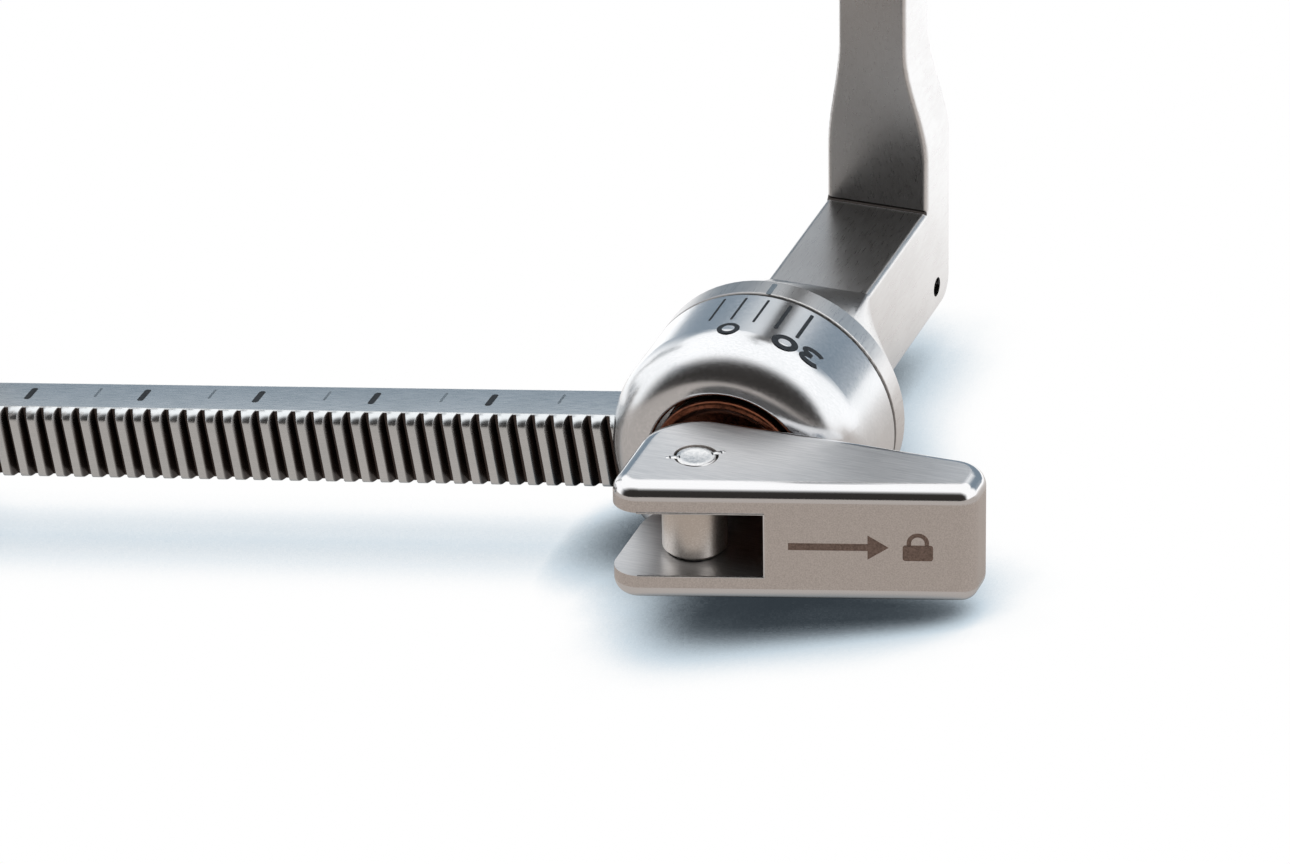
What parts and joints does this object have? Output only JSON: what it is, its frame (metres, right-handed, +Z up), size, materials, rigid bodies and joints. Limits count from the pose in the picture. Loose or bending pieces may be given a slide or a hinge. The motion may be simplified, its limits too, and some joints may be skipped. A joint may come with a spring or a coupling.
{
  "type": "self retaining surgical retractor",
  "caption": "Rack retractor with a fixed and a sliding hub, each clamping a tilting arm by a cam lever; a turn key and pinion drive the carriage, a pawl holds it, and each arm carries a blade",
  "frame": {"origin": "bottom centre of the whole model's box, on the surface it lies on", "axes": "+X runs along the rack from the carriage's end to the fixed hub, +Y from the levers' side to the arms' side, +Z up"},
  "size_m": [0.1658, 0.062, 0.1052],
  "materials": {
    "satin_steel": "fine satin brushed stainless steel",
    "blasted_steel": "fine glass blasted stainless steel with polished edges",
    "blade_steel": "matt bead blasted stainless steel",
    "ground_steel": "centreless ground hardened steel",
    "bearing_bronze": "turned bearing bronze",
    "spring_steel": "rolled spring steel"
  },
  "bodies": {
    "rack_frame": {"rack_bar": "satin_steel", "fixed_hub": "satin_steel", "hub_thrust_washer": "bearing_bronze", "rack_end_stop": "satin_steel", "end_stop_screw": "ground_steel"},
    "right_arm": {"right_tilt_arm": "satin_steel", "right_draw_bolt": "blasted_steel", "right_pressure_pad": "bearing_bronze", "right_disc_springs": "spring_steel", "right_stop_pin": "ground_steel", "right_blade_screw": "ground_steel"},
    "right_lever": {"right_cam_lever": "blasted_steel", "right_lever_pin": "ground_steel"},
    "right_retracting_blade": {"right_blade": "blade_steel"},
    "carriage": {"carriage_body": "satin_steel", "gearbox_cover": "satin_steel", "cover_screws": "ground_steel", "carriage_thrust_washer": "bearing_bronze", "pawl_pivot_pin": "ground_steel", "pawl_spring": "spring_steel", "pinion_bushes": "bearing_bronze"},
    "pinion": {"drive_pinion": "ground_steel", "turn_key": "blasted_steel", "key_pin": "ground_steel"},
    "pawl": {"ratchet_pawl": "blasted_steel"},
    "left_arm": {"left_tilt_arm": "satin_steel", "left_draw_bolt": "blasted_steel", "left_pressure_pad": "bearing_bronze", "left_disc_springs": "spring_steel", "left_stop_pin": "ground_steel", "left_blade_screw": "ground_steel"},
    "left_lever": {"left_cam_lever": "blasted_steel", "left_lever_pin": "ground_steel"},
    "left_retracting_blade": {"left_blade": "blade_steel"}
  },
  "joints": [
    {"name": "right_tilt", "type": "hinge", "parent": "rack_frame", "child": "right_arm", "pos_m": [0.06088, -0.01581, 0.0104], "axis": [0, 1, 0], "range_deg": [-19, 21]},
    {"name": "right_lever_swing", "type": "hinge", "parent": "right_arm", "child": "right_lever", "pos_m": [0.06088, -0.02501, 0.0104], "axis": [0.1564, 0, 0.9877], "range_deg": [-100, 0]},
    {"name": "right_blade_slide", "type": "slide", "parent": "right_arm", "child": "right_retracting_blade", "axis": [0.1564, 0, 0.9877], "range_m": [0, 0.014]},
    {"name": "carriage_slide", "type": "slide", "parent": "rack_frame", "child": "carriage", "axis": [1, 0, 0], "range_m": [-0.01257, 0.06283]},
    {"name": "pinion_spin", "type": "hinge", "parent": "carriage", "child": "pinion", "pos_m": [-0.04212, -0.01946, 0.0104], "axis": [0, 0, 1], "range_deg": [-180.5, 900.5]},
    {"name": "pawl_swing", "type": "hinge", "parent": "carriage", "child": "pawl", "pos_m": [-0.05515, -0.01781, 0.0104], "axis": [0, 0, 1], "range_deg": [0, 9.5], "deforming": ["pawl_spring"]},
    {"name": "left_tilt", "type": "hinge", "parent": "carriage", "child": "left_arm", "pos_m": [-0.02512, -0.01581, 0.021], "axis": [0, -1, 0], "range_deg": [-19, 21]},
    {"name": "left_lever_swing", "type": "hinge", "parent": "left_arm", "child": "left_lever", "pos_m": [-0.02512, -0.02501, 0.021], "axis": [-0.1564, 0, 0.9877], "range_deg": [-100, 0]},
    {"name": "left_blade_slide", "type": "slide", "parent": "left_arm", "child": "left_retracting_blade", "axis": [-0.1564, 0, 0.9877], "range_m": [0, 0.014]}
  ],
  "couplings": [
    {"joint": "pinion_spin", "follows": "carriage_slide", "rad_per_m": 250}
  ]
}
